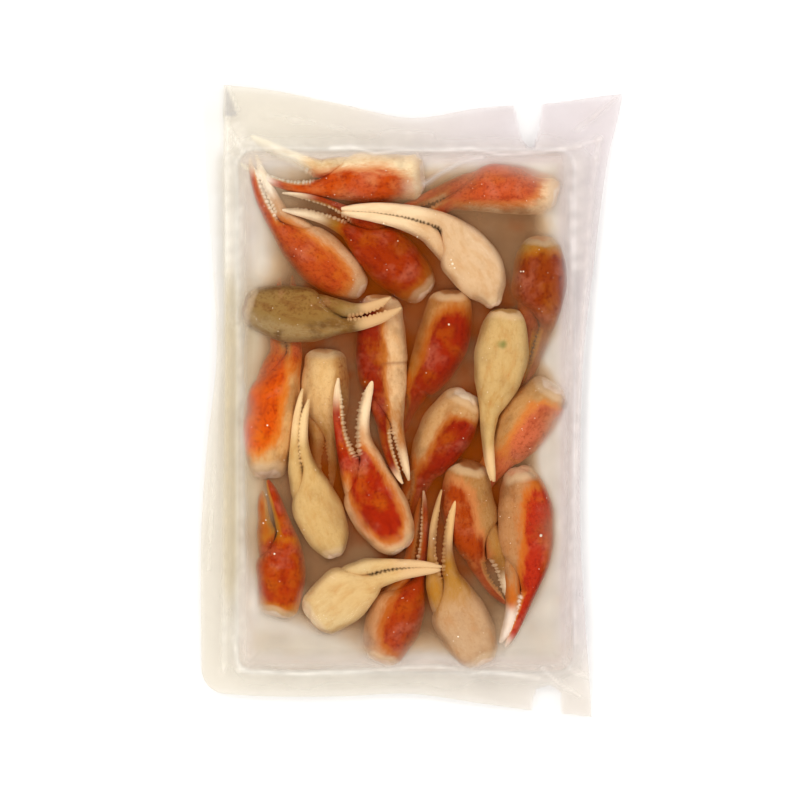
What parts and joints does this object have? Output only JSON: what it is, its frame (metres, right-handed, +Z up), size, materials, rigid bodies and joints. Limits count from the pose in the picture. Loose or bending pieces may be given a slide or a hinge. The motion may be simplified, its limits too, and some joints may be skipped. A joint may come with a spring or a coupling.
{
  "type": "sealed pouch of snow crab claws",
  "caption": "Flat clear pouch, sealed all round its margin, holding a frozen block of cooked snow crab claws in ice and lying with the claws showing.",
  "frame": {"origin": "centre of the pouch's outline, on the surface it lies on", "axes": "+Z up out of the shown face, +Y along the pouch to its far end, +X to the right"},
  "size_m": [0.1998, 0.3, 0.0247],
  "materials": {
    "clear_film": "clear soft laminated film drawn tight by a vacuum, glossy, milky where its two sheets meet",
    "cloudy_ice": "cloudy frozen glaze, nearly clear over the claws and milky at the block's sides",
    "cooked_shell": "cooked crab shell, orange-red on the back of the palm, cream on its sides and white at the finger tips",
    "claw_meat": "pale pink meat and skin in the cut end of a palm"
  },
  "bodies": {
    "root": {"sealed_pouch": "clear_film"}
  },
  "joints": []
}
